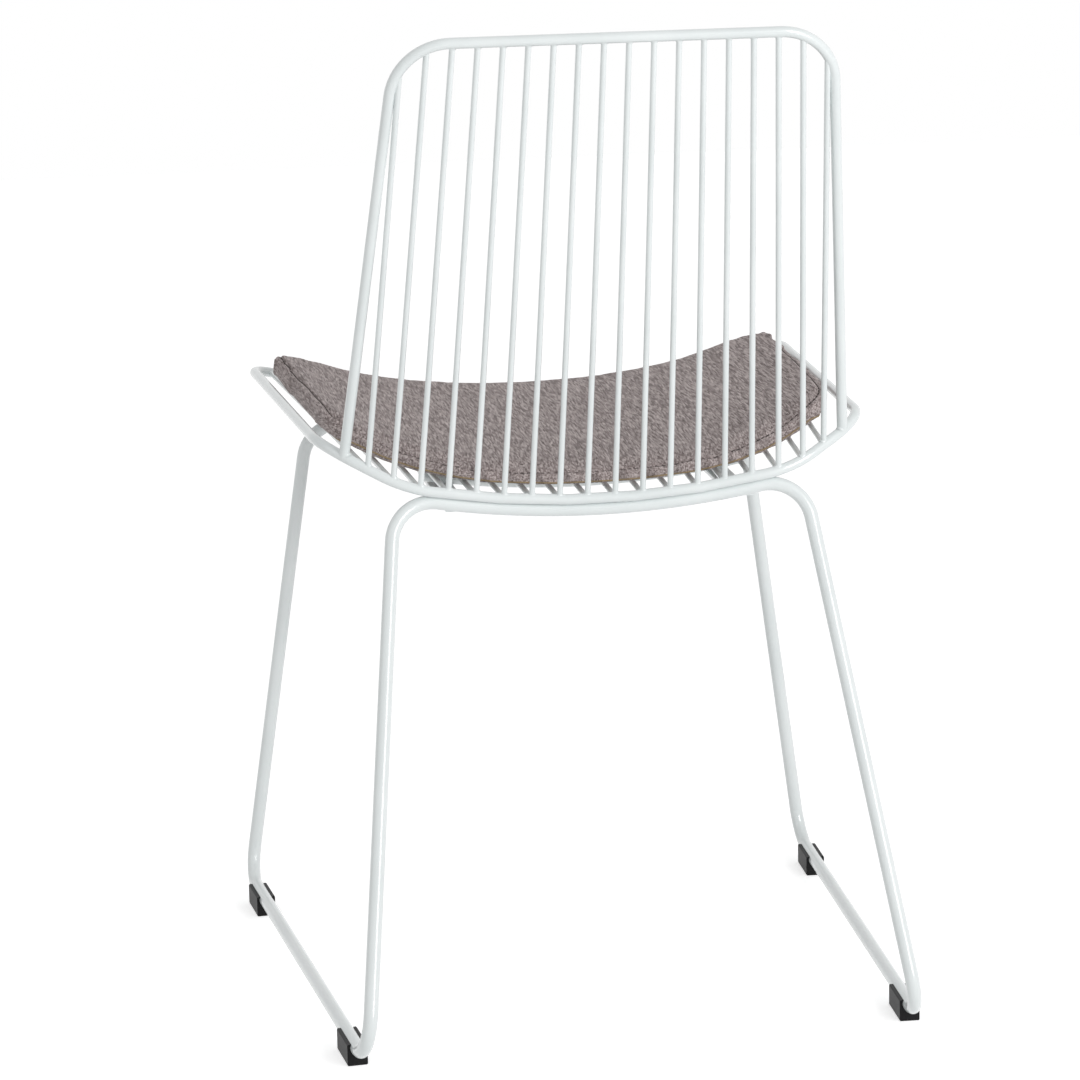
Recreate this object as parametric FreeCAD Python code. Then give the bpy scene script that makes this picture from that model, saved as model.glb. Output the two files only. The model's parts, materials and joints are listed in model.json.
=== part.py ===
import FreeCAD, Part
import math
import os

# Wire chair on a sled base with a loose seat cushion.
# Millimetres. X is the chair's width, +X the sitter's left. The front faces -Y, +Z is up.
# The origin lies on the floor, in the middle of the width.

os.makedirs("parts", exist_ok=True)

# Rods and tubes
hoop_d = 8.6            # bent rod round the back
ring_d = 8.6            # bent rod round the seat
wire_d = 4.8            # wires of the back and the seat
leg_d = 11.5            # tube of the sled base
cross_rod_d = 9.0       # rod across under the seat wires
weld_gap = 0.05         # room between a rod and what it is welded against

# Back
back_top_z = 795.0      # centre of the top rail
back_top_y = 209.9
back_top_half = 169.6   # half the width where the rail and the side lines would meet
hoop_corner_r = 46.0
wire_count = 18         # of the back, and of the seat
back_pitch_top = 19.4   # wire spacing on the top rail
hoop_foot_reach = 214.0 # along the seat rod, from the middle of the back edge to the hoop's foot
back_foot_lift = 2.0    # wire feet sit this much above the seat rod's centre

# Seat rod
seat_rear_y = 118.1
seat_rear_z = 421.0
seat_front_y = -259.9
seat_front_z = 439.5
seat_front_half = 239.0
seat_rear_half = 222.5  # at the rear corners
rear_corner_y = 92.5
rear_corner_z = 472.0
rear_flank_x = 159.0    # the rear edge turns up towards its corner here
trough_r_rear = 740.0
trough_slope_rear = 10.6
trough_r_front = 730.0
trough_slope_front = 16.0
rear_flank_r = 92.0
rear_corner_r = 48.0
front_corner_r = 28.0
wire_pitch_rear = 22.6  # along the rod
wire_pitch_front = 26.5

# Sled base
runner_z = 14.4         # centre of the floor runners
foot_rear_half = 221.4
foot_rear_y = 270.8
foot_front_half = 255.1
foot_front_y = -255.9
rear_shoulder_half = 166.8
rear_bar_setback = 5.0  # rear bar's centre ahead of the seat rod's
front_shoulder_half = 194.3
front_bar_y = -222.1
front_bar_rise = 2.5    # the front bar's ends above its middle
leg_top_r = 34.0
leg_foot_r = 28.0
seam_z = 62.0           # leg tube joins the runner tube here

# Under the seat
cross_rod_y = 32.1
cross_rod_half = 134.0
rail_x = 116.0
rail_w = 20.0
rail_t = 4.0
rail_rear_drop = 3.7    # rail's centre below the rear bar's centre

# Glides
glide_len = 42.0
glide_wall = 2.3
glide_grip = 3.2        # the walls reach this far above the tube's centre
glide_fit = 0.1         # between tube and glide
glide_bevel = 0.8
glide_rear_y = 206.1
glide_front_y = -200.4

# Cushion
cushion_gap = 0.7       # above the wires
cushion_t = 16.5        # at the middle of the front and rear edges
cushion_crown = 3.0
cushion_side_extra = 5.0    # thicker by this at the side edges
cushion_rear_rise = 4.0     # the underside draws up to the rear seam
cushion_bevel_half = 108.0  # the rear edge starts to slant here
cushion_bevel_depth = 62.0
fabric_t = 1.2          # cover
foam_fit = 0.3          # room between the foam and its cover
seam_gap = 0.2          # between the cover's panels
cushion_front_y = -246.9
cushion_rear_y = 104.1
cushion_front_half = 227.5
cushion_mid_half = 222.5
cushion_rear_half = 212.0
cushion_edge_top_r = 4.0
cushion_edge_low_r = 2.5
seam_top_h = 12.0       # seams, above the cushion's underside
seam_low_h = 3.2


def vec(x, y, z):
    return FreeCAD.Vector(x, y, z)


def unit(v):
    return v * (1.0 / v.Length)


def mirrorX(v):
    return vec(-v.x, v.y, v.z)


def bend(a, b, c, r):
    # round corner at b between the lines a-b and b-c
    u = unit(a - b)
    w = unit(c - b)
    half = 0.5 * math.acos(max(-1.0, min(1.0, u.dot(w))))
    cut = r / math.tan(half)
    p = b + u * cut
    q = b + w * cut
    mid = b + unit(u + w) * (r / math.sin(half) - r)
    return p, mid, q


def roundedPath(points, radii):
    edges = []
    last = points[0]
    for i in range(1, len(points) - 1):
        p, m, q = bend(points[i - 1], points[i], points[i + 1], radii[i - 1])
        if (p - last).Length > 0.01:
            edges.append(Part.LineSegment(last, p).toShape())
        edges.append(Part.Arc(p, m, q).toShape())
        last = q
    edges.append(Part.LineSegment(last, points[-1]).toShape())
    return edges


def closedPath(points, radii):
    n = len(points)
    corners = [bend(points[i - 1], points[i], points[(i + 1) % n], radii[i]) for i in range(n)]
    edges = []
    for i in range(n):
        p, m, q = corners[i]
        edges.append(Part.Arc(p, m, q).toShape())
        edges.append(Part.LineSegment(q, corners[(i + 1) % n][0]).toShape())
    return edges


def sweep(edges, d):
    path = Part.Wire(edges)
    first = edges[0]
    start = first.valueAt(first.FirstParameter)
    way = first.tangentAt(first.FirstParameter)
    ring = Part.Wire([Part.makeCircle(d / 2.0, start, way)])
    return path.makePipeShell([ring], True, False)


def rod(a, b, d):
    return Part.makeCylinder(d / 2.0, (b - a).Length, a, b - a)


def solidOf(shape):
    # the one solid of a cut, the largest where a sliver is left
    found = sorted(shape.Solids, key=lambda s: s.Volume)
    return found[-1]


def save(name, shape):
    shape.exportStep("parts/" + name + ".step")


def mirrored(shape):
    return shape.mirror(vec(0, 0, 0), vec(1, 0, 0))


def savePair(name, i, wire):
    # wires are numbered from the sitter's left
    save("%s_%02d" % (name, i + 1), wire)
    save("%s_%02d" % (name, wire_count - i), mirrored(wire))


# Seat rod: a closed loop, starting in the middle of the rear edge and going round by +X

def troughVertex(y, z, r, slope):
    # where a trough's two flank lines would meet, below its middle
    return vec(0, y, z + r - r / math.cos(math.radians(slope)))


def ringCorners():
    rear = troughVertex(seat_rear_y, seat_rear_z, trough_r_rear, trough_slope_rear)
    front = troughVertex(seat_front_y, seat_front_z, trough_r_front, trough_slope_front)
    flank_z = rear.z + rear_flank_x * math.tan(math.radians(trough_slope_rear))
    front_z = front.z + seat_front_half * math.tan(math.radians(trough_slope_front))
    side = [vec(rear_flank_x, seat_rear_y, flank_z)]
    side.append(vec(seat_rear_half, rear_corner_y, rear_corner_z))
    side.append(vec(seat_front_half, seat_front_y, front_z))
    return [rear] + side + [front] + [mirrorX(p) for p in reversed(side)]


side_radii = [rear_flank_r, rear_corner_r, front_corner_r]
ring_radii = [trough_r_rear] + side_radii + [trough_r_front] + side_radii[::-1]
ring_edges = closedPath(ringCorners(), ring_radii)
rear_trough_len = ring_edges[0].Length
front_trough = 2 * (1 + len(side_radii))
ring_len = sum(e.Length for e in ring_edges) / 2.0


def ringAt(distance):
    # point on the rod's centre line, measured along it from the middle of the rear edge
    left = distance + rear_trough_len / 2.0
    for e in ring_edges[:front_trough + 1]:
        if left <= e.Length:
            return e.valueAt(e.getParameterByLength(left))
        left -= e.Length


def seatRing():
    return solidOf(sweep(ring_edges, ring_d))


# Back

hoop_foot = ringAt(hoop_foot_reach)
back_top = vec(back_top_half, back_top_y, back_top_z)


def hoopEdges():
    pts = [hoop_foot, back_top, mirrorX(back_top), mirrorX(hoop_foot)]
    return roundedPath(pts, [hoop_corner_r, hoop_corner_r])


def backHoop(ring):
    return solidOf(sweep(hoopEdges(), hoop_d).cut(ring))


def wayAlong(edges, spot):
    # direction of the path at the spot on it
    edge = min(edges, key=lambda e: e.distToShape(Part.Vertex(spot))[0])
    return edge.tangentAt(edge.Curve.parameter(spot))


def coped(wire, spot, way, d):
    # the wire's end is shaped to sit on a rod that runs through the spot
    reach = 2.0 * d
    return solidOf(wire.cut(rod(spot - unit(way) * reach, spot + unit(way) * reach, d)))


def backWireEnds(k):
    # k counts pitches from the middle
    foot = ringAt(k * wire_pitch_rear) + vec(0, 0, back_foot_lift)
    top = vec(k * back_pitch_top, back_top_y, back_top_z)
    line = Part.LineSegment(foot, top + (top - foot) * 0.02).toShape()
    near, spot = line.distToShape(Part.Wire(hoopEdges()))[1][0]
    return foot, near, spot


def backWire(k, hoop):
    foot, top, spot = backWireEnds(k)
    wire = coped(rod(foot, top, wire_d), spot, wayAlong(hoopEdges(), spot), hoop_d)
    if wire.common(hoop).Volume > 0.5:
        # the outer wires run close along the hoop before they meet it
        wire = solidOf(wire.cut(hoop))
    seat = ringAt(k * wire_pitch_rear)
    return coped(wire, seat, wayAlong(ring_edges, seat), ring_d)


# Seat wires

def seatWireEnds(k):
    return ringAt(k * wire_pitch_rear), ringAt(ring_len - k * wire_pitch_front)


def seatWire(k):
    rear, front = seatWireEnds(k)
    wire = coped(rod(rear, front, wire_d), rear, wayAlong(ring_edges, rear), ring_d)
    return coped(wire, front, wayAlong(ring_edges, front), ring_d)


def wirePointAt(k, y):
    # where the seat wire, or its straight continuation, crosses the plane at y
    rear, front = seatWireEnds(k)
    return rear + (front - rear) * ((y - rear.y) / (front.y - rear.y))


# Sled base

def legFrame(mid, bow_r, shoulder_half, foot):
    # bowed bar through mid, a bend at each shoulder and a straight leg down to the seam
    e = shoulder_half - leg_top_r
    for step in range(12):
        a = math.asin(e / bow_r)
        end = vec(e, mid.y, mid.z + bow_r * (1.0 - math.cos(a)))
        t = vec(math.cos(a), 0, math.sin(a))
        corner = end + t * ((shoulder_half - e) / math.cos(a))
        w = unit(foot - corner)
        turn = math.acos(t.dot(w))
        e = shoulder_half - leg_top_r * math.tan(turn / 2.0) * math.cos(a)
    p, m, q = bend(end, corner, foot, leg_top_r)
    down = q + (foot - q) * ((q.z - seam_z) / (q.z - foot.z))
    right = [Part.Arc(end, m, q).toShape(), Part.LineSegment(q, down).toShape()]
    left = [Part.LineSegment(mirrorX(down), mirrorX(q)).toShape()]
    left.append(Part.Arc(mirrorX(q), mirrorX(m), mirrorX(end)).toShape())
    bar = Part.Arc(mirrorX(end), mid, end).toShape()
    return sweep(left + [bar] + right, leg_d), down


foot_rear = vec(foot_rear_half, foot_rear_y, runner_z)
foot_front = vec(foot_front_half, foot_front_y, runner_z)


def rearBar():
    reach = (ring_d + leg_d) / 2.0 + weld_gap
    drop = math.sqrt(reach ** 2 - rear_bar_setback ** 2)
    return vec(0, seat_rear_y - rear_bar_setback, seat_rear_z - drop), trough_r_rear + drop


def frontBar():
    under = wirePointAt(0.5, front_bar_y)
    mid = vec(0, front_bar_y, under.z - (wire_d + leg_d) / 2.0 - weld_gap)
    return mid, front_shoulder_half ** 2 / (2.0 * front_bar_rise)


def rearFrame():
    mid, bow_r = rearBar()
    return legFrame(mid, bow_r, rear_shoulder_half, foot_rear)


def frontFrame():
    mid, bow_r = frontBar()
    return legFrame(mid, bow_r, front_shoulder_half, foot_front)


def runner(rear_seam, front_seam):
    pts = [rear_seam, foot_rear, foot_front, front_seam]
    return sweep(roundedPath(pts, [leg_foot_r, leg_foot_r]), leg_d)


# Under the seat

def crossRodBow():
    # lowest point of the rod's centre line, and the radius that keeps it close under the wires
    drop = (wire_d + cross_rod_d) / 2.0 + weld_gap
    mid = wirePointAt(0.5, cross_rod_y)
    side = wirePointAt(5.5, cross_rod_y)
    rise = side.z - mid.z
    return vec(0, cross_rod_y, mid.z - drop), (side.x ** 2 + rise ** 2) / (2.0 * rise)


def crossRod():
    low, r = crossRodBow()
    end = barAt(low, r, cross_rod_half)
    return sweep([Part.Arc(mirrorX(end), low, end).toShape()], cross_rod_d)


def barAt(mid, bow_r, x):
    # height of a bowed bar's centre at x
    return vec(x, mid.y, mid.z + bow_r - math.sqrt(bow_r ** 2 - x ** 2))


def seatRail(rear, front):
    # the strap butts on the rear bar, passes close under the cross rod and butts on the front bar
    rear_mid, rear_bow = rearBar()
    low, r = crossRodBow()
    a = barAt(rear_mid, rear_bow, rail_x) - vec(0, 0, rail_rear_drop)
    over = barAt(low, r, rail_x - rail_w / 2.0)
    under_z = over.z - (cross_rod_d + rail_t) / 2.0 - weld_gap
    slope = (under_z - a.z) / (over.y - a.y)
    b = vec(rail_x, front_bar_y, a.z + slope * (front_bar_y - a.y))
    base = vec(a.x - rail_w / 2.0, a.y, a.z - rail_t / 2.0)
    corners = [base, base + vec(rail_w, 0, 0), base + vec(rail_w, 0, rail_t), base + vec(0, 0, rail_t)]
    strap = Part.Face(Part.makePolygon(corners + [base])).extrude(b - a)
    return solidOf(strap.cut(rear).cut(front))


# Glides

def glide(y):
    r = foot_rear
    f = foot_front
    way = unit(f - r)
    place = r + (f - r) * ((y - r.y) / (f.y - r.y))
    bore = leg_d + 2.0 * glide_fit
    half = bore / 2.0 + glide_wall
    top = runner_z + glide_grip
    bevel = glide_bevel
    profile = [(-half + bevel, 0.0), (half - bevel, 0.0), (half, bevel), (half, top - bevel)]
    profile += [(half - bevel, top), (-half + bevel, top), (-half, top - bevel), (-half, bevel)]
    across = vec(-way.y, way.x, 0)
    start = vec(place.x, place.y, 0) - way * (glide_len / 2.0)
    pts = [start + across * u + vec(0, 0, v) for u, v in profile]
    block = Part.Face(Part.makePolygon(pts + [pts[0]])).extrude(way * glide_len)
    axis = vec(place.x, place.y, runner_z) - way * glide_len
    saddle = Part.makeCylinder(bore / 2.0, glide_len * 2.0, axis, way)
    mouth_half = math.sqrt((bore / 2.0) ** 2 - glide_grip ** 2)
    low = axis + vec(0, 0, glide_grip) - across * mouth_half
    mouth = [low, low + across * (2.0 * mouth_half), low + across * (2.0 * mouth_half) + vec(0, 0, bore), low + vec(0, 0, bore)]
    slot = Part.Face(Part.makePolygon(mouth + [low])).extrude(way * (glide_len * 2.0))
    return solidOf(block.cut(saddle).cut(slot))


# Cushion

def restingZ(k, y):
    return wirePointAt(k, y).z + wire_d / 2.0 + cushion_gap


def padLift(h, x, y):
    # how far a layer of the pad lies above the wires; h runs from 0 below to cushion_t on top
    part = h / cushion_t
    s = (y - cushion_front_y) / (cushion_rear_y - cushion_front_y)
    side = min(1.2, abs(x) / cushion_mid_half)
    drawn_up = cushion_rear_rise * max(0.0, (s - 0.75) / 0.25) ** 2
    puff = cushion_crown * max(0.0, 1.0 - (2.0 * s - 1.0) ** 2) * max(0.0, 1.0 - side ** 2)
    return drawn_up * (1.0 - part) + h + part * (puff + cushion_side_extra * side ** 4)


def layerSection(y, low, high):
    # closed section across the seat between two layers of the pad
    spots = []
    for k in (0.5, 2.5, 4.5, 6.0, 7.25, 8.5):
        spots.append((wirePointAt(k, y).x, restingZ(k, y)))
    x0, z0 = spots[0]
    x1, z1 = spots[1]
    spots[0] = (0.0, z0 - (z1 - z0) * x0 ** 2 / (x1 ** 2 - x0 ** 2))
    x7, z7 = spots[-2]
    x8, z8 = spots[-1]
    tip = cushion_front_half + 22.0
    spots.append((tip, z8 + (tip - x8) * (z8 - z7) / (x8 - x7)))

    def line(h):
        pts = [vec(x, y, z + padLift(h, x, y)) for x, z in spots]
        return [mirrorX(p) for p in reversed(pts[1:])] + pts

    lower = line(low)
    upper = line(high)
    a = Part.BSplineCurve()
    a.interpolate(lower)
    b = Part.BSplineCurve()
    b.interpolate(upper)
    right = Part.LineSegment(lower[-1], upper[-1]).toShape()
    left = Part.LineSegment(upper[0], lower[0]).toShape()
    return Part.Wire([a.toShape(), right, b.toShape(), left])


def layer(low, high):
    first = cushion_rear_y + 14.0
    last = cushion_front_y - 14.0
    count = 6
    ys = [first + (last - first) * i / (count - 1.0) for i in range(count)]
    return Part.makeLoft([layerSection(y, low, high) for y in ys], True, False)


def outline(inset):
    mid_y = cushion_rear_y - 0.70 * (cushion_rear_y - cushion_front_y)
    right = [(cushion_bevel_half, cushion_rear_y - 1.0, 95.0)]
    right.append((cushion_rear_half, cushion_rear_y - cushion_bevel_depth, 46.0))
    right.append((cushion_mid_half, mid_y, 420.0))
    right.append((cushion_front_half, cushion_front_y, 34.0))
    pts = [vec(x, y, 0) for x, y, r in right] + [vec(-x, y, 0) for x, y, r in reversed(right)]
    radii = [r for x, y, r in right] + [r for x, y, r in reversed(right)]
    wire = Part.Wire(closedPath(pts, radii))
    if inset > 0:
        wire = wire.makeOffset2D(-inset)
    return wire


def prism(inset):
    face = Part.Face(outline(inset))
    face.translate(vec(0, 0, 380.0))
    return face.extrude(vec(0, 0, 200.0))


def softBody(inset):
    body = solidOf(layer(inset, cushion_t - inset).common(prism(inset)))
    wide = [f for f in body.Faces if min(f.BoundBox.XLength, f.BoundBox.YLength) > 200.0]
    wide.sort(key=lambda f: f.CenterOfMass.z)
    body = body.makeFillet(cushion_edge_top_r - 0.8 * inset, wide[-1].Edges)
    wide = [f for f in body.Faces if min(f.BoundBox.XLength, f.BoundBox.YLength) > 200.0]
    wide.sort(key=lambda f: f.CenterOfMass.z)
    return body.makeFillet(cushion_edge_low_r - 0.8 * inset, wide[0].Edges)


def cushion():
    outer = softBody(0.0)
    cover = outer.cut(softBody(fabric_t))
    gap = seam_gap / 2.0
    top = solidOf(cover.common(layer(seam_top_h + gap, cushion_t + 30.0)))
    band = solidOf(cover.common(layer(seam_low_h + gap, seam_top_h - gap)))
    base = solidOf(cover.common(layer(-20.0, seam_low_h - gap)))
    return softBody(fabric_t + foam_fit), top, band, base


def build():
    ring = seatRing()
    hoop = backHoop(ring)
    save("seat_ring", ring)
    save("back_hoop", hoop)
    for i in range(wire_count // 2):
        k = wire_count / 2.0 - 0.5 - i
        savePair("back_wire", i, backWire(k, hoop))
        savePair("seat_wire", i, seatWire(k))
    rear, rear_seam = rearFrame()
    front, front_seam = frontFrame()
    save("rear_leg_frame", rear)
    save("front_leg_frame", front)
    left = runner(rear_seam, front_seam)
    save("runner_left", left)
    save("runner_right", mirrored(left))
    save("cross_rod", crossRod())
    rail = seatRail(rear, front)
    save("seat_rail_left", rail)
    save("seat_rail_right", mirrored(rail))
    for end, y in (("rear", glide_rear_y), ("front", glide_front_y)):
        save("glide_" + end + "_left", glide(y))
        save("glide_" + end + "_right", mirrored(glide(y)))
    foam, top, band, base = cushion()
    save("cushion_foam", foam)
    save("cushion_top_panel", top)
    save("cushion_side_band", band)
    save("cushion_bottom_panel", base)


build()
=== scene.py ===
import json
import math
import bmesh
import bpy
import numpy as np
from mathutils import Matrix, Vector
from mathutils.bvhtree import BVHTree

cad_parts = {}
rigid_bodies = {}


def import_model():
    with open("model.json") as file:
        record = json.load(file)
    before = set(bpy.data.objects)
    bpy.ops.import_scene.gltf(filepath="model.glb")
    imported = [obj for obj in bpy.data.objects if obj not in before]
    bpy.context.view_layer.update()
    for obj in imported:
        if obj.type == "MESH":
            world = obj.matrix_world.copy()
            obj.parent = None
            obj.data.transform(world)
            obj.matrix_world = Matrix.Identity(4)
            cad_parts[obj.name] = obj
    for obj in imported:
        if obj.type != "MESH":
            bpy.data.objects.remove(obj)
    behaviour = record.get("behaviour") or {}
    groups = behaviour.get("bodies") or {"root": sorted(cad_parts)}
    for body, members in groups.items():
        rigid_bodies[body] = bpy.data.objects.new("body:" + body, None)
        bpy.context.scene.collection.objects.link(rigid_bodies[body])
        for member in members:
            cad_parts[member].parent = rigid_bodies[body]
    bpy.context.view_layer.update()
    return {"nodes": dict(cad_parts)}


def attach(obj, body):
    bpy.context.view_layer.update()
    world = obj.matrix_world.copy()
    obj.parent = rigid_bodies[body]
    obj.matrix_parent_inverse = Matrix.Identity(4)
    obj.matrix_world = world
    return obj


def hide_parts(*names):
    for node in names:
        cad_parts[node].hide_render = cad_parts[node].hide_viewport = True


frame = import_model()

nodes = frame["nodes"]
scene = bpy.context.scene
print("frame loaded:", len(nodes), "nodes")


# Small helpers

def linearColour(hexCode):
    # sRGB hex turned linear, channel by channel
    channels = [int(hexCode[i:i + 2], 16) / 255 for i in (1, 3, 5)]
    linear = [c / 12.92 if c <= 0.04045 else ((c + 0.055) / 1.055) ** 2.4 for c in channels]
    return (*linear, 1.0)


def addNode(tree, kind, at=(0, 0), **settings):
    # a node of that kind; settings named in0, in1 and so on fill its sockets
    node = tree.nodes.new("ShaderNode" + kind)
    node.location = (at[0] * 200, at[1] * 200)
    for name, value in settings.items():
        if name.startswith("in") and name[2:].isdigit():
            socket = node.inputs[int(name[2:])]
            if isinstance(value, bpy.types.NodeSocket):
                tree.links.new(value, socket)
            else:
                socket.default_value = value
        else:
            setattr(node, name, value)
    return node


def newMaterial(name):
    material = bpy.data.materials.new(name)
    material.use_nodes = True
    tree = material.node_tree
    tree.nodes.clear()
    output = addNode(tree, "OutputMaterial", (6, 0))
    shader = addNode(tree, "BsdfPrincipled", (4, 0))
    tree.links.new(shader.outputs[0], output.inputs[0])
    return material, tree, shader


def meshFromArrays(name, points, faces, material, smooth=True):
    mesh = bpy.data.meshes.new(name)
    mesh.from_pydata(points.tolist(), [], faces.tolist())
    mesh.polygons.foreach_set("use_smooth", [smooth] * len(mesh.polygons))
    mesh.materials.append(material)
    mesh.update()
    thing = bpy.data.objects.new(name, mesh)
    scene.collection.objects.link(thing)
    return thing


def gridFaces(rows, columns, closeRows=False, closeColumns=True):
    # quads of a rows x columns grid of points, wrapped round where asked
    i = np.arange(rows if closeRows else rows - 1)[:, None]
    j = np.arange(columns if closeColumns else columns - 1)[None, :]
    a = i * columns + j
    b = i * columns + (j + 1) % columns
    c = ((i + 1) % rows) * columns + (j + 1) % columns
    d = ((i + 1) % rows) * columns + j
    return np.stack([a, b, c, d], axis=-1).reshape(-1, 4)


def meshPoints(thing):
    points = np.empty(len(thing.data.vertices) * 3)
    thing.data.vertices.foreach_get("co", points)
    return points.reshape(-1, 3)


def meshNormals(thing):
    normals = np.empty(len(thing.data.vertices) * 3)
    thing.data.vertices.foreach_get("normal", normals)
    return normals.reshape(-1, 3)


def setPoints(thing, points):
    thing.data.vertices.foreach_set("co", points.reshape(-1))
    thing.data.update()


# Materials

powderCoatLook = dict(colour="#ECF1F1", thin="#E3E9E9", roughness=0.3, coat=0.7, coatRoughness=0.07,
                      peelSize=0.0016, peelDepth=0.00025, cloudSize=1 / 14)


def powderCoat():
    material, tree, shader = newMaterial("glossy white powder coat")
    look = powderCoatLook
    place = addNode(tree, "TexCoord", (-2, 0))
    # faint orange peel of the sprayed and baked coat
    peel = addNode(tree, "TexNoise", (0, -1), in0=place.outputs["Object"], in2=1 / look["peelSize"], in3=2.0)
    bump = addNode(tree, "Bump", (2, -1), in0=0.35, in1=look["peelDepth"])
    tree.links.new(peel.outputs[0], bump.inputs["Height"])
    tree.links.new(bump.outputs[0], shader.inputs["Normal"])
    # the coat is a touch thinner and greyer in places
    cloud = addNode(tree, "TexNoise", (0, 1), in0=place.outputs["Object"], in2=1 / look["cloudSize"],
                    in3=3.0)
    tint = addNode(tree, "ValToRGB", (2, 1), in0=cloud.outputs[0])
    tint.color_ramp.elements[0].position = 0.3
    tint.color_ramp.elements[0].color = linearColour(look["thin"])
    tint.color_ramp.elements[1].position = 0.7
    tint.color_ramp.elements[1].color = linearColour(look["colour"])
    tree.links.new(tint.outputs[0], shader.inputs["Base Color"])
    shader.inputs["Roughness"].default_value = look["roughness"]
    shader.inputs["Coat Weight"].default_value = look["coat"]
    shader.inputs["Coat Roughness"].default_value = look["coatRoughness"]
    return material


blackPlasticLook = dict(colour="#0C0C0D", worn="#161618", roughness=0.5, specular=0.2, grainSize=0.0007,
                        grainDepth=0.0002)


def blackPlastic():
    material, tree, shader = newMaterial("black moulded plastic")
    look = blackPlasticLook
    place = addNode(tree, "TexCoord", (-2, 0))
    # fine spark grain of the mould
    grain = addNode(tree, "TexNoise", (0, -1), in0=place.outputs["Object"], in2=1 / look["grainSize"],
                    in3=3.0)
    bump = addNode(tree, "Bump", (2, -1), in0=0.3, in1=look["grainDepth"])
    tree.links.new(grain.outputs[0], bump.inputs["Height"])
    tree.links.new(bump.outputs[0], shader.inputs["Normal"])
    shade = addNode(tree, "ValToRGB", (2, 1), in0=grain.outputs[0])
    shade.color_ramp.elements[0].color = linearColour(look["colour"])
    shade.color_ramp.elements[1].color = linearColour(look["worn"])
    tree.links.new(shade.outputs[0], shader.inputs["Base Color"])
    shader.inputs["Roughness"].default_value = look["roughness"]
    shader.inputs["Specular IOR Level"].default_value = look["specular"]
    return material


wovenLook = dict(dark="#645856", middle="#9D908E", light="#D0C4C2", spreadOfShade=0.28,
                 knot=0.001, knotStretch=9.0, knotDepth=0.0005, unevenness=0.75,
                 threadPitch=0.0008, slubLength=0.05, slubShare=0.55, roughness=0.92, sheen=0.1)


def wovenFabric(name):
    # tweed weave of dark and light yarns: each crossing shows one yarn as a small knot of its own shade,
    # and long slubs run front to back through them
    material, tree, shader = newMaterial(name)
    look = wovenLook
    place = addNode(tree, "TexCoord", (-6, 0))
    knot, pitch = look["knot"], look["threadPitch"]
    knotScale = (1 / knot, 1 / (knot * look["knotStretch"]), 1 / knot)
    slubScale = (1 / pitch, 1 / look["slubLength"], 1 / pitch)
    yarns = addNode(tree, "Mapping", (-5, 1), in0=place.outputs["Object"], in3=knotScale)
    knots = addNode(tree, "TexVoronoi", (-3, 1), in0=yarns.outputs[0], in2=1.0)
    knots.inputs["Randomness"].default_value = look["unevenness"]
    shade = addNode(tree, "SeparateColor", (-2, 1), in0=knots.outputs["Color"])
    along = addNode(tree, "Mapping", (-5, -1), in0=place.outputs["Object"], in3=slubScale)
    slub = addNode(tree, "TexNoise", (-3, -1), in0=along.outputs[0], in2=1.0, in3=2.0, in4=0.6)
    both = addNode(tree, "Mix", (-1, 0), in0=look["slubShare"], in2=shade.outputs[0], in3=slub.outputs[0])
    ramp = addNode(tree, "ValToRGB", (0, 1), in0=both.outputs[0])
    ramp.color_ramp.elements[0].position = 0.5 - look["spreadOfShade"]
    ramp.color_ramp.elements[0].color = linearColour(look["dark"])
    ramp.color_ramp.elements[1].position = 0.5 + look["spreadOfShade"]
    ramp.color_ramp.elements[1].color = linearColour(look["light"])
    centre = ramp.color_ramp.elements.new(0.5)
    centre.color = linearColour(look["middle"])
    tree.links.new(ramp.outputs[0], shader.inputs["Base Color"])
    # each knot stands proud in its middle
    domed = addNode(tree, "Math", (0, -2), operation="MULTIPLY_ADD", in0=knots.outputs["Distance"],
                    in1=-1.0, in2=1.0)
    bump = addNode(tree, "Bump", (2, -1), in0=0.7, in1=look["knotDepth"])
    tree.links.new(domed.outputs[0], bump.inputs["Height"])
    tree.links.new(bump.outputs[0], shader.inputs["Normal"])
    shader.inputs["Roughness"].default_value = look["roughness"]
    shader.inputs["Sheen Weight"].default_value = look["sheen"]
    return material


def plainThread(name, dark, light, roughness):
    # twisted polyester, its fibres lighter and darker at about 0.7 mm
    material, tree, shader = newMaterial(name)
    place = addNode(tree, "TexCoord", (-2, 0))
    fibre = addNode(tree, "TexNoise", (0, 1), in0=place.outputs["Object"], in2=1400.0, in3=3.0)
    shade = addNode(tree, "ValToRGB", (2, 1), in0=fibre.outputs[0])
    shade.color_ramp.elements[0].color = linearColour(dark)
    shade.color_ramp.elements[1].color = linearColour(light)
    tree.links.new(shade.outputs[0], shader.inputs["Base Color"])
    shader.inputs["Roughness"].default_value = roughness
    return material


coat = powderCoat()
plastic = blackPlastic()
# the thread is dark: the stitch row laid with it in the seam's channel is partly real stitching and partly
# painted shade of the groove
threadAndSeamShade = plainThread("dark brown sewing thread", "#2E2725", "#4A413E", 0.8)
brass = plainThread("golden brown zip coil", "#7E6A4C", "#AB9572", 0.6)
weave = wovenFabric("taupe tweed weave")
print("materials made")


# Rods and tubes, in millimetres until the mesh is made

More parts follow.
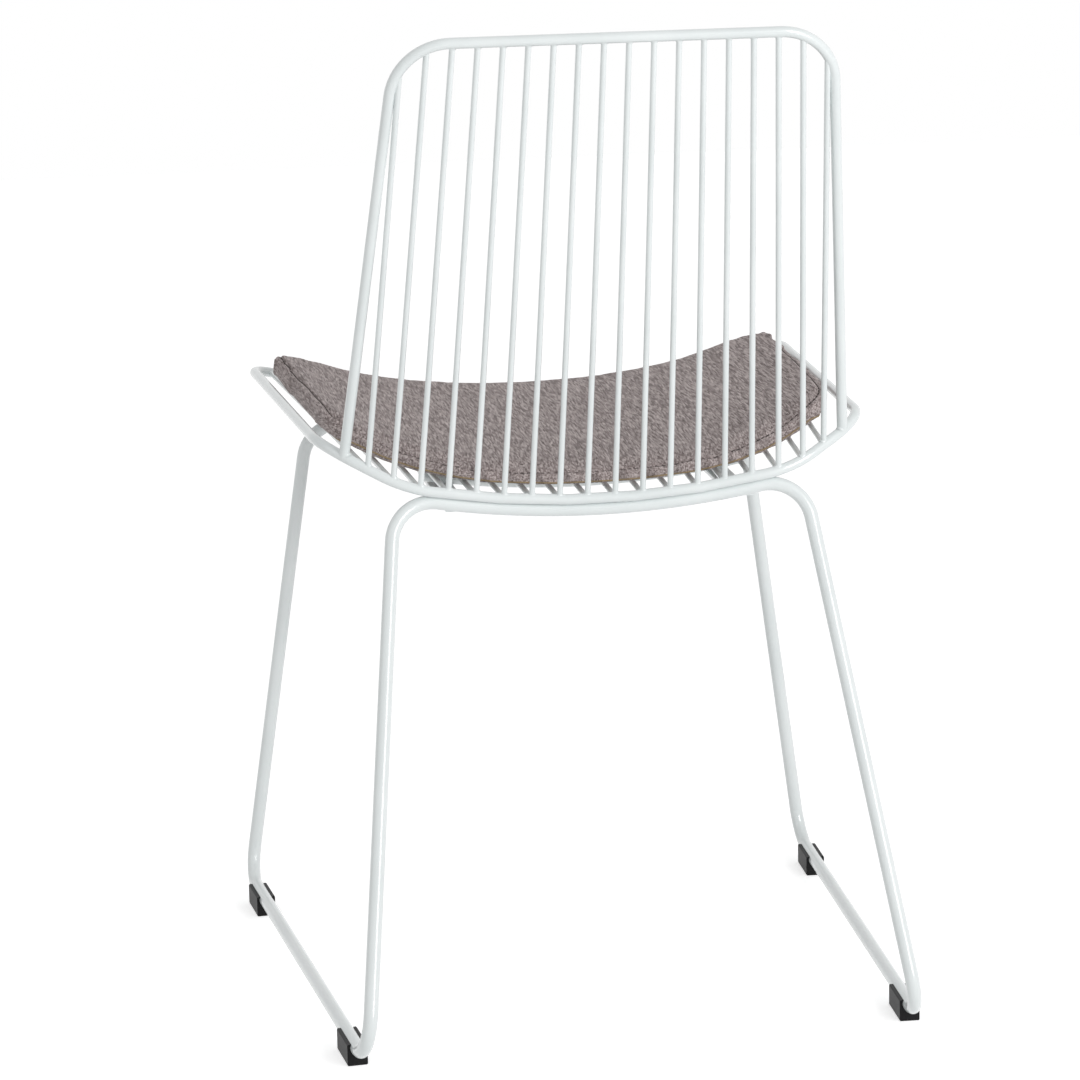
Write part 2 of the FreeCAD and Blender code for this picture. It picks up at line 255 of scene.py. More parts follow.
frameSizes = dict(
    hoopRod=8.6, seatRod=8.6, wire=4.8, legTube=11.5, crossRod=9.0, weldGap=0.05,
    hoopTop=(169.6, 209.9, 795.0), hoopRadius=46.0, hoopFootReach=214.0,
    wireCount=18, topPitch=19.4, rearPitch=22.6, frontPitch=26.5, footLift=2.0,
    rearY=118.1, rearZ=421.0, frontY=-259.9, frontZ=439.5, frontHalf=239.0, rearHalf=222.5,
    rearCornerY=92.5, rearCornerZ=472.0, flankX=159.0, rearTrough=(740.0, 10.6), frontTrough=(730.0, 16.0),
    sideRadii=(92.0, 48.0, 28.0),
    runnerZ=14.4, rearFoot=(221.4, 270.8), frontFoot=(255.1, -255.9), rearShoulder=166.8, frontShoulder=194.3,
    barSetback=5.0, frontBarY=-222.1, frontBarRise=2.5, legTopRadius=34.0, legFootRadius=28.0, seamZ=62.0,
    crossY=32.1, crossHalf=134.0, railX=116.0, railSection=(20.0, 4.0), railEdge=1.2, railDrop=3.7)
sizes = frameSizes
flipX = np.array([-1.0, 1.0, 1.0])


def unit(v):
    return v / np.linalg.norm(v)


def bendPoints(a, b, c, radius, step=5.0):
    # arc of that radius, tangent to a-b and b-c, sampled every few degrees
    u, w = unit(a - b), unit(c - b)
    half = 0.5 * np.arccos(np.clip(u @ w, -1, 1))
    centre = b + unit(u + w) * radius / math.sin(half)
    start = b + u * radius / math.tan(half) - centre
    along = -u * radius
    turn = math.pi - 2 * half
    angles = np.linspace(0, turn, max(3, int(math.degrees(turn) / step) + 2))[:, None]
    return centre + start * np.cos(angles) + along * np.sin(angles)


def roundedPath(corners, radii, closed=False):
    corners = [np.asarray(c, float) for c in corners]
    n = len(corners)
    if closed:
        turns = [bendPoints(corners[i - 1], corners[i], corners[(i + 1) % n], radii[i]) for i in range(n)]
        return np.vstack(turns)
    parts = [corners[:1]]
    parts += [bendPoints(corners[i - 1], corners[i], corners[i + 1], radii[i - 1]) for i in range(1, n - 1)]
    return np.vstack(parts + [corners[-1:]])


def spread(path, spacing=12.0):
    # extra points on the long stretches, so that no face is very long
    parts = []
    for p, q in zip(path[:-1], path[1:]):
        count = max(1, int(np.linalg.norm(q - p) / spacing))
        parts.append(p + (q - p) * np.arange(count)[:, None] / count)
    return np.vstack(parts + [path[-1:]])


def carryProfile(path, profile, closed=False):
    # the profile stands square to the path at each point; its axes are carried along without twist
    ahead = np.roll(path, -1, axis=0) - np.roll(path, 1, axis=0)
    if not closed:
        ahead[0], ahead[-1] = path[1] - path[0], path[-1] - path[-2]
    ahead /= np.linalg.norm(ahead, axis=1, keepdims=True)
    across = np.cross(ahead[0], (0, 0, 1))
    if np.linalg.norm(across) < 0.2:
        across = np.cross(ahead[0], (0, 1, 0))
    frames = []
    side = unit(across)
    for t in ahead:
        side = unit(side - t * (side @ t))
        frames.append(side)
    side = np.array(frames)
    if closed:
        # the twist left over at the end is shared out along the loop
        last = unit(side[-1] - ahead[0] * (side[-1] @ ahead[0]))
        twist = math.atan2(np.cross(last, side[0]) @ ahead[0], last @ side[0])
        share = (twist * np.arange(len(path)) / len(path))[:, None]
        side = side * np.cos(share) + np.cross(ahead, side) * np.sin(share)
    top = np.cross(side, ahead)
    rings = path[:, None] + profile[None, :, :1] * side[:, None] + profile[None, :, 1:] * top[:, None]
    return rings


def roundProfile(diameter, sides):
    a = np.linspace(0, 2 * math.pi, sides, endpoint=False)
    return np.column_stack([np.cos(a), np.sin(a)]) * diameter / 2


def strapProfile(width, thickness, edge):
    # a flat bar's section: a quarter circle round each of its four corners
    q = np.linspace(0, math.pi / 2, 4)
    corners = []
    for start, x, y in ((0, 1, 1), (1, -1, 1), (2, -1, -1), (3, 1, -1)):
        bend = q + start * math.pi / 2
        middle = (x * (width / 2 - edge), y * (thickness / 2 - edge))
        corners.append(np.column_stack([np.cos(bend), np.sin(bend)]) * edge + middle)
    return np.vstack(corners)


def ringsToMesh(name, rings, material, closed=False):
    # rings of points to a tube; open ends get a cap drawn in to a point
    if not closed:
        rings = np.concatenate([rings[:1].mean(axis=1, keepdims=True).repeat(rings.shape[1], 1), rings,
                                rings[-1:].mean(axis=1, keepdims=True).repeat(rings.shape[1], 1)])
    count, sides = rings.shape[:2]
    faces = gridFaces(count, sides, closeRows=closed)
    thing = meshFromArrays(name, rings.reshape(-1, 3) * 0.001, faces, material)
    shell = bmesh.new()
    shell.from_mesh(thing.data)
    bmesh.ops.remove_doubles(shell, verts=shell.verts, dist=0.000005)
    bmesh.ops.recalc_face_normals(shell, faces=shell.faces)
    for face in shell.faces:
        face.smooth = True
    for edge in shell.edges:
        edge.smooth = edge.calc_face_angle(0) < 0.9  # the rim of a cap stays crisp
    shell.to_mesh(thing.data)
    shell.free()
    return thing


def makeRod(name, path, diameter, node, sides=20, closed=False):
    rings = carryProfile(path if closed else spread(path), roundProfile(diameter, sides), closed)
    dress(ringsToMesh(name, rings, coat, closed), node)


def dress(thing, node):
    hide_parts(node)
    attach(thing, "frame")


def troughVertex(y, z, trough):
    # where the two flank lines of a dished edge would meet, below its middle
    radius, slope = trough
    return np.array([0, y, z + radius - radius / math.cos(math.radians(slope))])


def seatRodCorners():
    rear = troughVertex(sizes["rearY"], sizes["rearZ"], sizes["rearTrough"])
    front = troughVertex(sizes["frontY"], sizes["frontZ"], sizes["frontTrough"])
    flankZ = rear[2] + sizes["flankX"] * math.tan(math.radians(sizes["rearTrough"][1]))
    frontZ = front[2] + sizes["frontHalf"] * math.tan(math.radians(sizes["frontTrough"][1]))
    side = [np.array([sizes["flankX"], sizes["rearY"], flankZ]),
            np.array([sizes["rearHalf"], sizes["rearCornerY"], sizes["rearCornerZ"]]),
            np.array([sizes["frontHalf"], sizes["frontY"], frontZ])]
    return [rear] + side + [front] + [p * flipX for p in side[::-1]]


sideRadii = list(sizes["sideRadii"])
seatRodRadii = [sizes["rearTrough"][0]] + sideRadii + [sizes["frontTrough"][0]] + sideRadii[::-1]
seatRodPath = roundedPath(seatRodCorners(), seatRodRadii, closed=True)


def finePath(path, closed=False):
    path = np.vstack([path, path[:1]]) if closed else path
    return spread(path, 1.0)


# the rod's centre line by length, from the middle of the rear edge round by +X
seatRodFine = finePath(seatRodPath, closed=True)
seatRodFine = seatRodFine[:-1]
offMiddle = np.abs(seatRodFine[:, 0]) + 1000 * (seatRodFine[:, 1] < 0)
seatRodFine = np.roll(seatRodFine, -int(np.argmin(offMiddle)), axis=0)
seatRodWay = np.concatenate([[0], np.cumsum(np.linalg.norm(np.diff(seatRodFine, axis=0), axis=1))])
seatRodHalf = (seatRodWay[-1] + np.linalg.norm(seatRodFine[0] - seatRodFine[-1])) / 2


def onSeatRod(reach):
    return np.array([np.interp(reach, seatRodWay, seatRodFine[:, i]) for i in range(3)])


def seatWireEnds(k):
    return onSeatRod(k * sizes["rearPitch"]), onSeatRod(seatRodHalf - k * sizes["frontPitch"])


def seatWireAt(k, y):
    rear, front = seatWireEnds(k)
    return rear + (front - rear) * (y - rear[1]) / (front[1] - rear[1])


hoopFoot = onSeatRod(sizes["hoopFootReach"])
hoopTop = np.array(sizes["hoopTop"])
hoopPath = roundedPath([hoopFoot, hoopTop, hoopTop * flipX, hoopFoot * flipX], [sizes["hoopRadius"]] * 2)
hoopFine = finePath(hoopPath)


def backWireEnds(k):
    # the wire aims at its place on the top rail and stops where it meets the hoop
    foot = onSeatRod(k * sizes["rearPitch"]) + (0, 0, sizes["footLift"])
    aim = hoopTop * (0, 1, 1) + (k * sizes["topPitch"], 0, 0)
    line = foot + (aim - foot) * np.linspace(0.5, 1.0, 400)[:, None]
    gaps = np.linalg.norm(line[:, None] - hoopFine[None, :], axis=2).min(axis=1)
    return foot, line[int(np.argmin(gaps))]


def legFrame(middle, bowRadius, shoulder, foot):
    # a bowed bar, a bend at each shoulder and straight legs towards the foot corners, cut at the seam;
    # the bow's half width is found by repeating, as the bend takes its share of it
    e = shoulder - sizes["legTopRadius"]
    for _ in range(12):
        a = math.asin(e / bowRadius)
        end = np.array([e, middle[1], middle[2] + bowRadius * (1 - math.cos(a))])
        way = np.array([math.cos(a), 0, math.sin(a)])
        corner = end + way * (shoulder - e) / math.cos(a)
        turn = math.acos(way @ unit(foot - corner))
        e = shoulder - sizes["legTopRadius"] * math.tan(turn / 2) * math.cos(a)
    angles = np.linspace(-a, a, 41)[:, None]
    bow = middle + np.hstack([np.sin(angles), 0 * angles, 1 - np.cos(angles)]) * bowRadius
    shoulderArc = bendPoints(end, corner, foot, sizes["legTopRadius"])
    last = shoulderArc[-1]
    seam = last + (foot - last) * (last[2] - sizes["seamZ"]) / (last[2] - foot[2])
    right = np.vstack([shoulderArc[1:], [seam]])
    return np.vstack([right[::-1] * flipX, bow, right]), seam


def makeFrameRods():
    makeRod("seatRod", seatRodPath, sizes["seatRod"], "seat_ring", 24, closed=True)
    makeRod("backHoop", hoopPath, sizes["hoopRod"], "back_hoop", 24)
    count = sizes["wireCount"]
    for i in range(count):
        k = count / 2 - 0.5 - i
        flip = flipX if k < 0 else np.ones(3)
        number = "%02d" % (i + 1)
        backEnds, seatEnds = np.array(backWireEnds(abs(k))), np.array(seatWireEnds(abs(k)))
        makeRod("backWire" + number, backEnds * flip, sizes["wire"], "back_wire_" + number, 16)
        makeRod("seatWire" + number, seatEnds * flip, sizes["wire"], "seat_wire_" + number, 16)
    reach = (sizes["seatRod"] + sizes["legTube"]) / 2 + sizes["weldGap"]
    drop = math.sqrt(reach ** 2 - sizes["barSetback"] ** 2)
    rearMiddle = np.array([0, sizes["rearY"] - sizes["barSetback"], sizes["rearZ"] - drop])
    rearBow = sizes["rearTrough"][0] + drop
    under = seatWireAt(0.5, sizes["frontBarY"])[2]
    under -= (sizes["wire"] + sizes["legTube"]) / 2 + sizes["weldGap"]
    frontMiddle = np.array([0, sizes["frontBarY"], under])
    frontBow = sizes["frontShoulder"] ** 2 / (2 * sizes["frontBarRise"])
    rearFoot = np.array([*sizes["rearFoot"], sizes["runnerZ"]])
    frontFoot = np.array([*sizes["frontFoot"], sizes["runnerZ"]])
    rearPath, rearSeam = legFrame(rearMiddle, rearBow, sizes["rearShoulder"], rearFoot)
    frontPath, frontSeam = legFrame(frontMiddle, frontBow, sizes["frontShoulder"], frontFoot)
    makeRod("rearLegTube", rearPath, sizes["legTube"], "rear_leg_frame", 24)
    makeRod("frontLegTube", frontPath, sizes["legTube"], "front_leg_frame", 24)
    runner = roundedPath([rearSeam, rearFoot, frontFoot, frontSeam], [sizes["legFootRadius"]] * 2)
    makeRod("runnerTubeLeft", runner, sizes["legTube"], "runner_left", 24)
    makeRod("runnerTubeRight", runner * flipX, sizes["legTube"], "runner_right", 24)
    mid, side = seatWireAt(0.5, sizes["crossY"]), seatWireAt(5.5, sizes["crossY"])
    radius = (side[0] ** 2 + (side[2] - mid[2]) ** 2) / (2 * (side[2] - mid[2]))
    low = mid[2] - (sizes["wire"] + sizes["crossRod"]) / 2 - sizes["weldGap"]
    x = np.linspace(-sizes["crossHalf"], sizes["crossHalf"], 33)
    cross = np.column_stack([x, 0 * x + sizes["crossY"], low + radius - np.sqrt(radius ** 2 - x ** 2)])
    makeRod("crossRod", cross, sizes["crossRod"], "cross_rod", 20)
    x, w, t = sizes["railX"], *sizes["railSection"]
    a = rearMiddle + (x, 0, rearBow - math.sqrt(rearBow ** 2 - x ** 2) - sizes["railDrop"])
    inner = x - w / 2
    underZ = low + radius - math.sqrt(radius ** 2 - inner ** 2)
    underZ -= (sizes["crossRod"] + t) / 2 + sizes["weldGap"]
    share = (sizes["frontBarY"] - a[1]) / (sizes["crossY"] - a[1])
    b = np.array([x, sizes["frontBarY"], a[2] + (underZ - a[2]) * share])
    for name, flip in (("left", np.ones(3)), ("right", flipX)):
        rings = carryProfile(spread(np.array([a, b]) * flip), strapProfile(w, t, sizes["railEdge"]))
        dress(ringsToMesh("seatRail" + name.title(), rings, coat), "seat_rail_" + name)


makeFrameRods()
print("frame rods made")


# Glides

def smoothCopy(name, node, material, angle=40):
    mesh = node.data.copy()
    mesh.name = name
    thing = bpy.data.objects.new(name, mesh)
    scene.collection.objects.link(thing)
    bpy.context.view_layer.objects.active = thing
    for other in scene.objects:
        other.select_set(other == thing)
    bpy.ops.object.mode_set(mode="EDIT")
    bpy.ops.mesh.select_all(action="SELECT")
    bpy.ops.mesh.remove_doubles(threshold=0.00001)
    bpy.ops.object.mode_set(mode="OBJECT")
    bpy.ops.object.shade_smooth_by_angle(angle=math.radians(angle))
    mesh.materials.clear()
    mesh.materials.append(material)
    return thing


glideNodes = [n for n in nodes if n.startswith("glide")]
for n in glideNodes:
    block = smoothCopy(n + "_block", nodes[n], plastic, 30)
    dress(block, n)
print("glides dressed")


# Cushion

cushionLook = dict(
    voxel=0.004, pressure=4.0, steps=20, cap=0.0035,
    front=-246.9, rear=104.1, bevel=(108.0, 1.0, 95.0), rearCorner=(212.0, 62.0, 46.0),
    middle=(222.5, 0.7, 420.0), frontCorner=(227.5, 34.0),
    seamInset=8.5, seamDepth=1.7, seamWidth=1.5, weltRise=0.5, weltWidth=2.4, ripple=0.3, dent=0.35)


def cushionOutline():
    # plan of the cushion, rounded at its corners, in millimetres
    look = cushionLook
    front, rear = look["front"], look["rear"]
    right = [(look["bevel"][0], rear - look["bevel"][1], look["bevel"][2]),
             (look["rearCorner"][0], rear - look["rearCorner"][1], look["rearCorner"][2]),
             (look["middle"][0], rear - look["middle"][1] * (rear - front), look["middle"][2]),
             (look["frontCorner"][0], front, look["frontCorner"][1])]
    corners = [np.array([x, y, 0.0]) for x, y, _ in right]
    radii = [r for _, _, r in right]
    corners += [c * flipX for c in corners[::-1]]
    return finePath(roundedPath(corners, radii + radii[::-1], closed=True), closed=True)


def edgeDistance(points, outline):
    # plan distance from each point to the outline, and how far round it the nearest spot lies
    step = outline[::3, :2]
    best, place = [], []
    for part in np.array_split(points[:, :2], 60):
        gaps = np.linalg.norm(part[:, None] - step[None], axis=2)
        best.append(gaps.min(axis=1))
        place.append(gaps.argmin(axis=1) * 3.0)
    return np.concatenate(best), np.concatenate(place)


def softCushion():
    look = cushionLook
    start = smoothCopy("cushionStart", nodes["cushion_foam"], weave)
    remesh = start.modifiers.new("even mesh", "REMESH")
    remesh.mode = "VOXEL"
    remesh.voxel_size = look["voxel"]
    bpy.ops.object.modifier_apply(modifier=remesh.name)
    rest = meshPoints(start)
    normals = meshNormals(start)
    under = start.vertex_groups.new(name="underside")
    under.add(np.where(normals[:, 2] < -0.35)[0].tolist(), 1.0, "REPLACE")
    cloth = start.modifiers.new("stuffing", "CLOTH")
    cloth.settings.use_pressure = True
    cloth.settings.uniform_pressure_force = look["pressure"]
    cloth.settings.vertex_group_mass = under.name
    cloth.settings.effector_weights.gravity = 0
    for step in range(1, look["steps"] + 1):
        scene.frame_set(step)
    bpy.ops.object.modifier_apply(modifier=cloth.name)
    scene.frame_set(1)
    moved = meshPoints(start) - rest
    far = np.linalg.norm(moved, axis=1, keepdims=True)
    moved *= np.minimum(1.0, look["cap"] / np.maximum(far, 1e-9))
    setPoints(start, rest + moved)
    start.vertex_groups.clear()
    finer = start.modifiers.new("finer", "SUBSURF")
    finer.levels = finer.render_levels = 1
    bpy.ops.object.modifier_apply(modifier=finer.name)
    start.name = start.data.name = "seatCushion"
    return start


def sewCushion(cushion):
    # each point moves along its normal: down in a bell-shaped channel at the seam's inset, up on the welt
    # outside it, and by sums of sines for the pulls, the band's waves and the slow dents
    look = cushionLook
    outline = cushionOutline()
    inward, _ = edgeDistance(meshPoints(cushion) * 1000, outline)
    nearSeam = (np.abs(inward - look["seamInset"]) < 4.0) & (meshNormals(cushion)[:, 2] > 0.2)
    finer = bmesh.new()
    finer.from_mesh(cushion.data)
    finer.verts.ensure_lookup_table()
    edges = [e for e in finer.edges if nearSeam[e.verts[0].index] and nearSeam[e.verts[1].index]]
    bmesh.ops.subdivide_edges(finer, edges=edges, cuts=1, use_grid_fill=True)
    finer.to_mesh(cushion.data)
    finer.free()
    points = meshPoints(cushion) * 1000
    normals = meshNormals(cushion)
    inward, place = edgeDistance(points, outline)
    onTop = np.clip((normals[:, 2] - 0.35) / 0.3, 0, 1)
    channel = np.exp(-((inward - look["seamInset"]) / look["seamWidth"]) ** 2)
    welt = np.exp(-((inward - look["seamInset"] * 0.45) / look["weltWidth"]) ** 2)
    pull = np.sin(place / 5.3 + 1.7 * np.sin(place / 31.0)) * np.sin(place / 13.7 + 0.6)
    fade = np.exp(-((inward - look["seamInset"] - 5) / 6.0) ** 2)
    pulls = 0.35 * look["ripple"] * pull * fade
    shift = onTop * (look["weltRise"] * welt - look["seamDepth"] * channel + pulls)
    # the band round the side is a little uneven between its two seams
    onSide = np.clip(1 - np.abs(normals[:, 2]) / 0.5, 0, 1)
    waves = 0.5 * np.sin(place / 9.5 + 2.0 * np.sin(place / 47.0)) + 0.4 * np.sin(place / 23.0)
    shift += onSide * look["ripple"] * waves
    # slow dents of a pad that has been sat on
    x, y = points[:, 0], points[:, 1]
    dents = np.sin(x / 37 + 0.9 * np.sin(y / 53)) * np.sin(y / 41 + 1.3 + 0.7 * np.sin(x / 61))
    shift += onTop * look["dent"] * dents * np.clip((inward - 14) / 20, 0, 1)
    setPoints(cushion, (points + normals * shift[:, None]) * 0.001)
    cushion.data.polygons.foreach_set("use_smooth", [True] * len(cushion.data.polygons))
    return outline


def onSurface(tree, points, fromWhere):
    # each point is carried along a ray onto the cushion; misses take the nearest spot
    spots, ways = [], []
    for p, d in zip(points * 0.001, fromWhere):
        hit = tree.ray_cast(Vector(p), Vector(d))
        if hit[0] is None:
            hit = tree.find_nearest(Vector(p))
        spots.append(hit[0])
        ways.append(hit[1])
    return np.array(spots) * 1000, np.array(ways)


def insideOutline(outline, inset):
    ahead = np.roll(outline, -2, axis=0) - np.roll(outline, 2, axis=0)
    inward = np.column_stack([-ahead[:, 1], ahead[:, 0], 0 * ahead[:, 0]])
    inward /= np.linalg.norm(inward, axis=1, keepdims=True)
    middle = outline.mean(axis=0)
    inward *= np.sign(np.sum((middle - outline) * inward, axis=1, keepdims=True))
    return outline + inward * inset, inward


# the one row runs in the seam's channel at the seam's inset; its dark thread is partly real stitching, partly
# painted shade of the groove
stitchAndSeamShadeLook = dict(length=5.0, gap=0.5, threadAndSeamShade=1.1, rows=(8.5,), startHeight=620.0)


def makeStitchesAndSeamShade(tree, outline):
    # short lock stitches: each is a thin capsule laid on the cloth, its ends dipping in; the row lies in the
    # seam's channel, so its dark thread is partly real stitching and partly painted shade of the groove
    look = stitchAndSeamShadeLook
    capsules = []
    for inset in look["rows"]:
        row, _ = insideOutline(outline, inset)
        way = np.concatenate([[0], np.cumsum(np.linalg.norm(np.diff(row, axis=0), axis=1))])
        starts = np.arange(0, way[-1] - look["length"], look["length"] + look["gap"])
        at = starts[:, None] + look["length"] * np.linspace(0, 1, 5)[None]
        above = np.full(at.size, look["startHeight"])
        line = np.stack([np.interp(at.ravel(), way, row[:, i]) for i in range(2)] + [above], axis=1)
        spots, ways = onSurface(tree, line, np.tile([0, 0, -1.0], (len(line), 1)))
        dip = np.tile([-0.25, 0.15, 0.2, 0.15, -0.25], len(starts))[:, None]
        capsules.append((spots + ways * dip).reshape(-1, 5, 3))
    lines = np.concatenate(capsules)
    ahead = np.gradient(lines, axis=1)
    ahead /= np.linalg.norm(ahead, axis=2, keepdims=True)
    side = np.cross(ahead, [0, 0, 1.0])
    side /= np.linalg.norm(side, axis=2, keepdims=True)
    top = np.cross(side, ahead)
    a = np.linspace(0, 2 * math.pi, 6, endpoint=False)
    radius = (look["threadAndSeamShade"] / 2 * np.array([0.35, 0.95, 1.0, 0.95, 0.35]))[None, :, None, None]
    c, s = np.cos(a)[None, None, :, None], np.sin(a)[None, None, :, None]
    rings = lines[:, :, None] + radius * (c * side[:, :, None] + s * top[:, :, None])
    faces = gridFaces(5, 6)
    faces = (faces[None] + (np.arange(len(lines)) * 30)[:, None, None]).reshape(-1, 4)
    thing = meshFromArrays("cushionStitchesAndSeamShade", rings.reshape(-1, 3) * 0.001, faces, threadAndSeamShade)
    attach(thing, "cushion")


zipLook = dict(height=2.6, width=1.5, pitch=1.7, reach=212.0)


def makeZip(tree, outline):
    # coil zip along the rear edge, low on the band: a tube whose radius swells once per tooth
    look = zipLook
    rear = outline[(outline[:, 1] > 8)]
    rear = rear[np.argsort(np.arctan2(rear[:, 0], rear[:, 1] + 250))]
    path = spread(rear[::4], 0.45)
    level = np.array([seatWireLevel(p[0], p[1]) for p in path[::12]])
    level = np.interp(np.arange(len(path)), np.arange(0, len(path), 12), level)
    _, inward = insideOutline(path, 0)
    inward[0], inward[-1] = inward[2], inward[-3]
    outside = path - inward * 30
    outside[:, 2] = level + look["height"] + 4.2
    spots, ways = onSurface(tree, outside, inward)
    spots = spots + ways * 0.25
    way = np.concatenate([[0], np.cumsum(np.linalg.norm(np.diff(spots, axis=0), axis=1))])
    swell = 0.78 + 0.22 * np.sin(2 * math.pi * way / look["pitch"])
    rings = carryProfile(spots, roundProfile(look["width"], 8))
    rings = spots[:, None] + (rings - spots[:, None]) * swell[:, None, None]
    thing = ringsToMesh("cushionZip", rings, brass)
    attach(thing, "cushion")


def seatWireLevel(x, y):
    # top of the seat wires under that spot
    ks = np.arange(0.5, 9)
    ends = np.array([seatWireAt(k, y) for k in ks])
    return float(np.interp(abs(x), ends[:, 0], ends[:, 2])) + sizes["wire"] / 2


cushion = softCushion()
outline = sewCushion(cushion)
tree = BVHTree.FromPolygons(meshPoints(cushion).tolist(), [list(p.vertices) for p in cushion.data.polygons])
makeStitchesAndSeamShade(tree, outline)
makeZip(tree, outline)
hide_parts("cushion_foam", "cushion_top_panel", "cushion_side_band", "cushion_bottom_panel")
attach(cushion, "cushion")
print("cushion made")


# Weld fillets

weldLook = dict(reach=1.5, unevenness=0.22, sink=0.15)


def weldFillet(centre, wireWay, rodWay, wireRadius, rodRadius, seed):
    # concave collar between a wire and the rod it stands on: its toe lies on the rod's round, at an
    # angle of reach over rod radius, and its lift grows with the square of the way up to the wire
    w = unit(np.asarray(wireWay, float))
    r = unit(rodWay - w * (rodWay @ w))
    t = np.cross(w, r)
    a = np.linspace(0, 2 * math.pi, 18, endpoint=False)[None]
    s = np.linspace(0, 1, 6)[:, None]
    wobble = 1 + weldLook["unevenness"] * (np.sin(2 * a + seed) + 0.6 * np.sin(3 * a + 2.1 * seed)) / 1.6
    reach = weldLook["reach"] * wobble
    out = wireRadius - 0.05 + reach * (1 - s) ** 2
    bearing = out * np.sin(a) / rodRadius
    lean = (1 - s) * bearing
    lift = reach * s ** 2 - weldLook["sink"] * (1 - s) ** 4
    sideways = rodRadius * np.sin(bearing) + lift * np.sin(lean)
    height = rodRadius * np.cos(bearing) + lift * np.cos(lean)
    return centre + (out * np.cos(a))[..., None] * r + sideways[..., None] * t + height[..., None] * w


def rodWayNear(fine, spot):
    i = int(np.argmin(np.linalg.norm(fine - spot, axis=1)))
    return fine[(i + 2) % len(fine)] - fine[i - 2]


def makeWelds():
    collars = []
    wire, rod = sizes["wire"] / 2, sizes["seatRod"] / 2
    seed = 0.0
    for k in np.arange(0.5, sizes["wireCount"] / 2):
        foot, top = backWireEnds(k)
        rear, front = seatWireEnds(k)
        rise = unit(top - foot)
        # the spot of the wire's line that is nearest to the rod's
        stand = foot + rise * ((rear - foot) @ rise)
        jobs = [(stand, rise, seatRodFine, rod), (rear, front - rear, seatRodFine, rod),
                (front, rear - front, seatRodFine, rod)]
        if k < 7:
            jobs.append((top, foot - top, hoopFine, sizes["hoopRod"] / 2))
        for centre, way, fine, radius in jobs:
            for flip in (np.ones(3), flipX):
                seed += 1.37
                collars.append(weldFillet(centre, way, rodWayNear(fine, centre), wire, radius, seed) * flip)
    hoop, footWay = sizes["hoopRod"] / 2, rodWayNear(seatRodFine, hoopFoot)
    for flip in (np.ones(3), flipX):
        seed += 1.37
        collars.append(weldFillet(hoopFoot, hoopTop - hoopFoot, footWay, hoop, rod, seed) * flip)
    rings = np.array(collars)
    steps, sides = rings.shape[1:3]
    each = np.arange(len(rings))[:, None, None] * steps * sides
    faces = (gridFaces(steps, sides)[None] + each).reshape(-1, 4)
    thing = meshFromArrays("weldFillets", rings.reshape(-1, 3) * 0.001, faces, coat)
    shell = bmesh.new()
    shell.from_mesh(thing.data)
    bmesh.ops.recalc_face_normals(shell, faces=shell.faces)
    shell.to_mesh(thing.data)
    shell.free()
    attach(thing, "frame")


makeWelds()
print("welds made")


# Floor, light and camera

stageLook = dict(keyPower=50.0, fillPower=2.5, skyStrength=0.52, floorColour="#F4F4F4", floorGlow=0.55)


def makeFloor():
    material, tree, shader = newMaterial("pale floor")
    shader.inputs["Base Color"].default_value = linearColour(stageLook["floorColour"])
    shader.inputs["Roughness"].default_value = 0.9
    ray = addNode(tree, "LightPath", (2, 2))
    seen = addNode(tree, "Math", (3, 2), operation="MAXIMUM", in0=ray.outputs["Is Camera Ray"],
                   in1=ray.outputs["Is Glossy Ray"])
    glow = addNode(tree, "Math", (4, 2), operation="MULTIPLY", in0=seen.outputs[0],
                   in1=stageLook["floorGlow"])
    shader.inputs["Emission Color"].default_value = (1, 1, 1, 1)
    tree.links.new(glow.outputs[0], shader.inputs["Emission Strength"])
    corners = np.array([[-6, -6, 0], [6, -6, 0], [6, 6, 0], [-6, 6, 0]], float)
    floor = meshFromArrays("floor", corners, np.array([[0, 1, 2, 3]]), material, smooth=False)


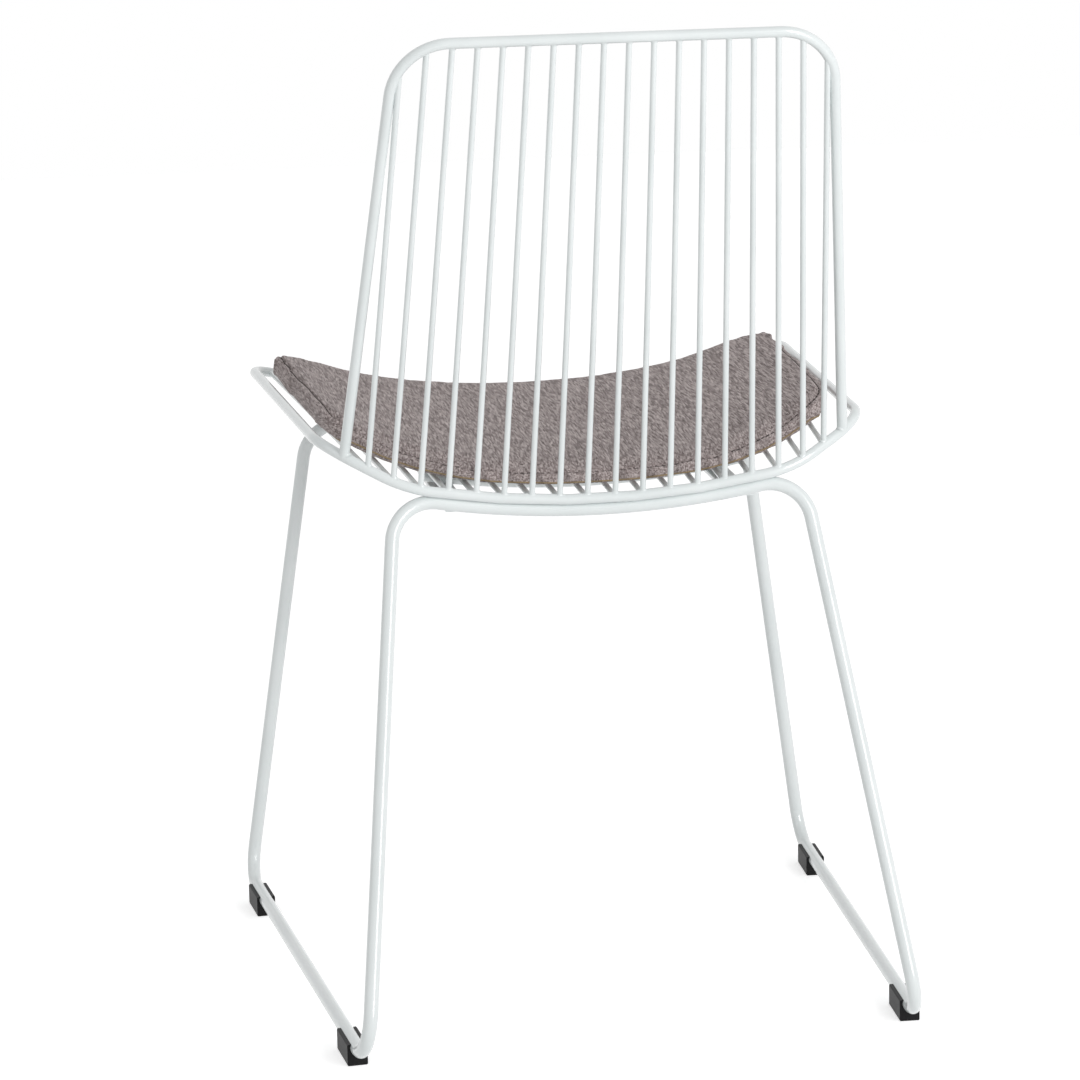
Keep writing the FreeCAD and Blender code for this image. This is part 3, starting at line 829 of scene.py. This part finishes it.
def makeSky():
    world = bpy.data.worlds.new("studio")
    scene.world = world
    world.use_nodes = True
    tree = world.node_tree
    tree.nodes.clear()
    output = addNode(tree, "OutputWorld", (4, 0))
    soft = addNode(tree, "Background", (1, 1), in0=(1, 1, 1, 1), in1=stageLook["skyStrength"])
    white = addNode(tree, "Background", (1, -1), in0=(1, 1, 1, 1), in1=1.0)
    ray = addNode(tree, "LightPath", (-2, 0))
    seen = addNode(tree, "Math", (-1, 0), operation="MAXIMUM", in0=ray.outputs["Is Camera Ray"],
                   in1=ray.outputs["Is Transmission Ray"])
    shown = addNode(tree, "Math", (0, 0), operation="MAXIMUM", in0=seen.outputs[0],
                    in1=ray.outputs["Is Glossy Ray"])
    mix = addNode(tree, "MixShader", (3, 0), in0=shown.outputs[0], in1=soft.outputs[0], in2=white.outputs[0])
    tree.links.new(mix.outputs[0], output.inputs[0])


def makeLamp(name, at, aim, size, power):
    data = bpy.data.lights.new(name, "AREA")
    data.shape = "RECTANGLE"
    data.size, data.size_y = size
    data.energy = power
    lamp = bpy.data.objects.new(name, data)
    lamp.location = at
    lamp.rotation_mode = "QUATERNION"
    lamp.rotation_quaternion = (Vector(aim) - Vector(at)).to_track_quat("-Z", "Y")
    scene.collection.objects.link(lamp)


# focal and middle are in pixels of the 1080 frame
cameraLook = dict(at=(0.5864, 3.1039, 1.0339), azimuth=10.1, elevation=11.9, roll=-1.2, focal=3876.7,
                  middle=(535.1, 534.1), frame=1080)


def makeCamera():
    look = cameraLook
    a, e, t = (math.radians(look[k]) for k in ("azimuth", "elevation", "roll"))
    ahead = Vector((-math.sin(a) * math.cos(e), -math.cos(a) * math.cos(e), -math.sin(e)))
    side = ahead.cross(Vector((0, 0, 1))).normalized()
    top = side.cross(ahead)
    right = math.cos(t) * side + math.sin(t) * top
    up = -math.sin(t) * side + math.cos(t) * top
    data = bpy.data.cameras.new("photoCamera")
    data.sensor_width = 36
    data.lens = data.sensor_width * look["focal"] / look["frame"]
    data.shift_x = (look["frame"] / 2 - look["middle"][0]) / look["frame"]
    data.shift_y = (look["middle"][1] - look["frame"] / 2) / look["frame"]
    data.clip_start, data.clip_end = 0.05, 60
    camera = bpy.data.objects.new("photoCamera", data)
    turn = Matrix((right, up, -ahead)).transposed()
    camera.matrix_world = Matrix.Translation(look["at"]) @ turn.to_4x4()
    scene.collection.objects.link(camera)
    scene.camera = camera


makeFloor()
makeSky()
makeLamp("keyPanel", (-1.6, 2.9, 1.5), (0, 0, 0.45), (0.9, 1.8), stageLook["keyPower"])
makeLamp("fillPanel", (2.4, 0.8, 1.6), (0, 0, 0.4), (1.4, 1.8), stageLook["fillPower"])
makeCamera()
scene.view_settings.view_transform = "Standard"
print("stage set")
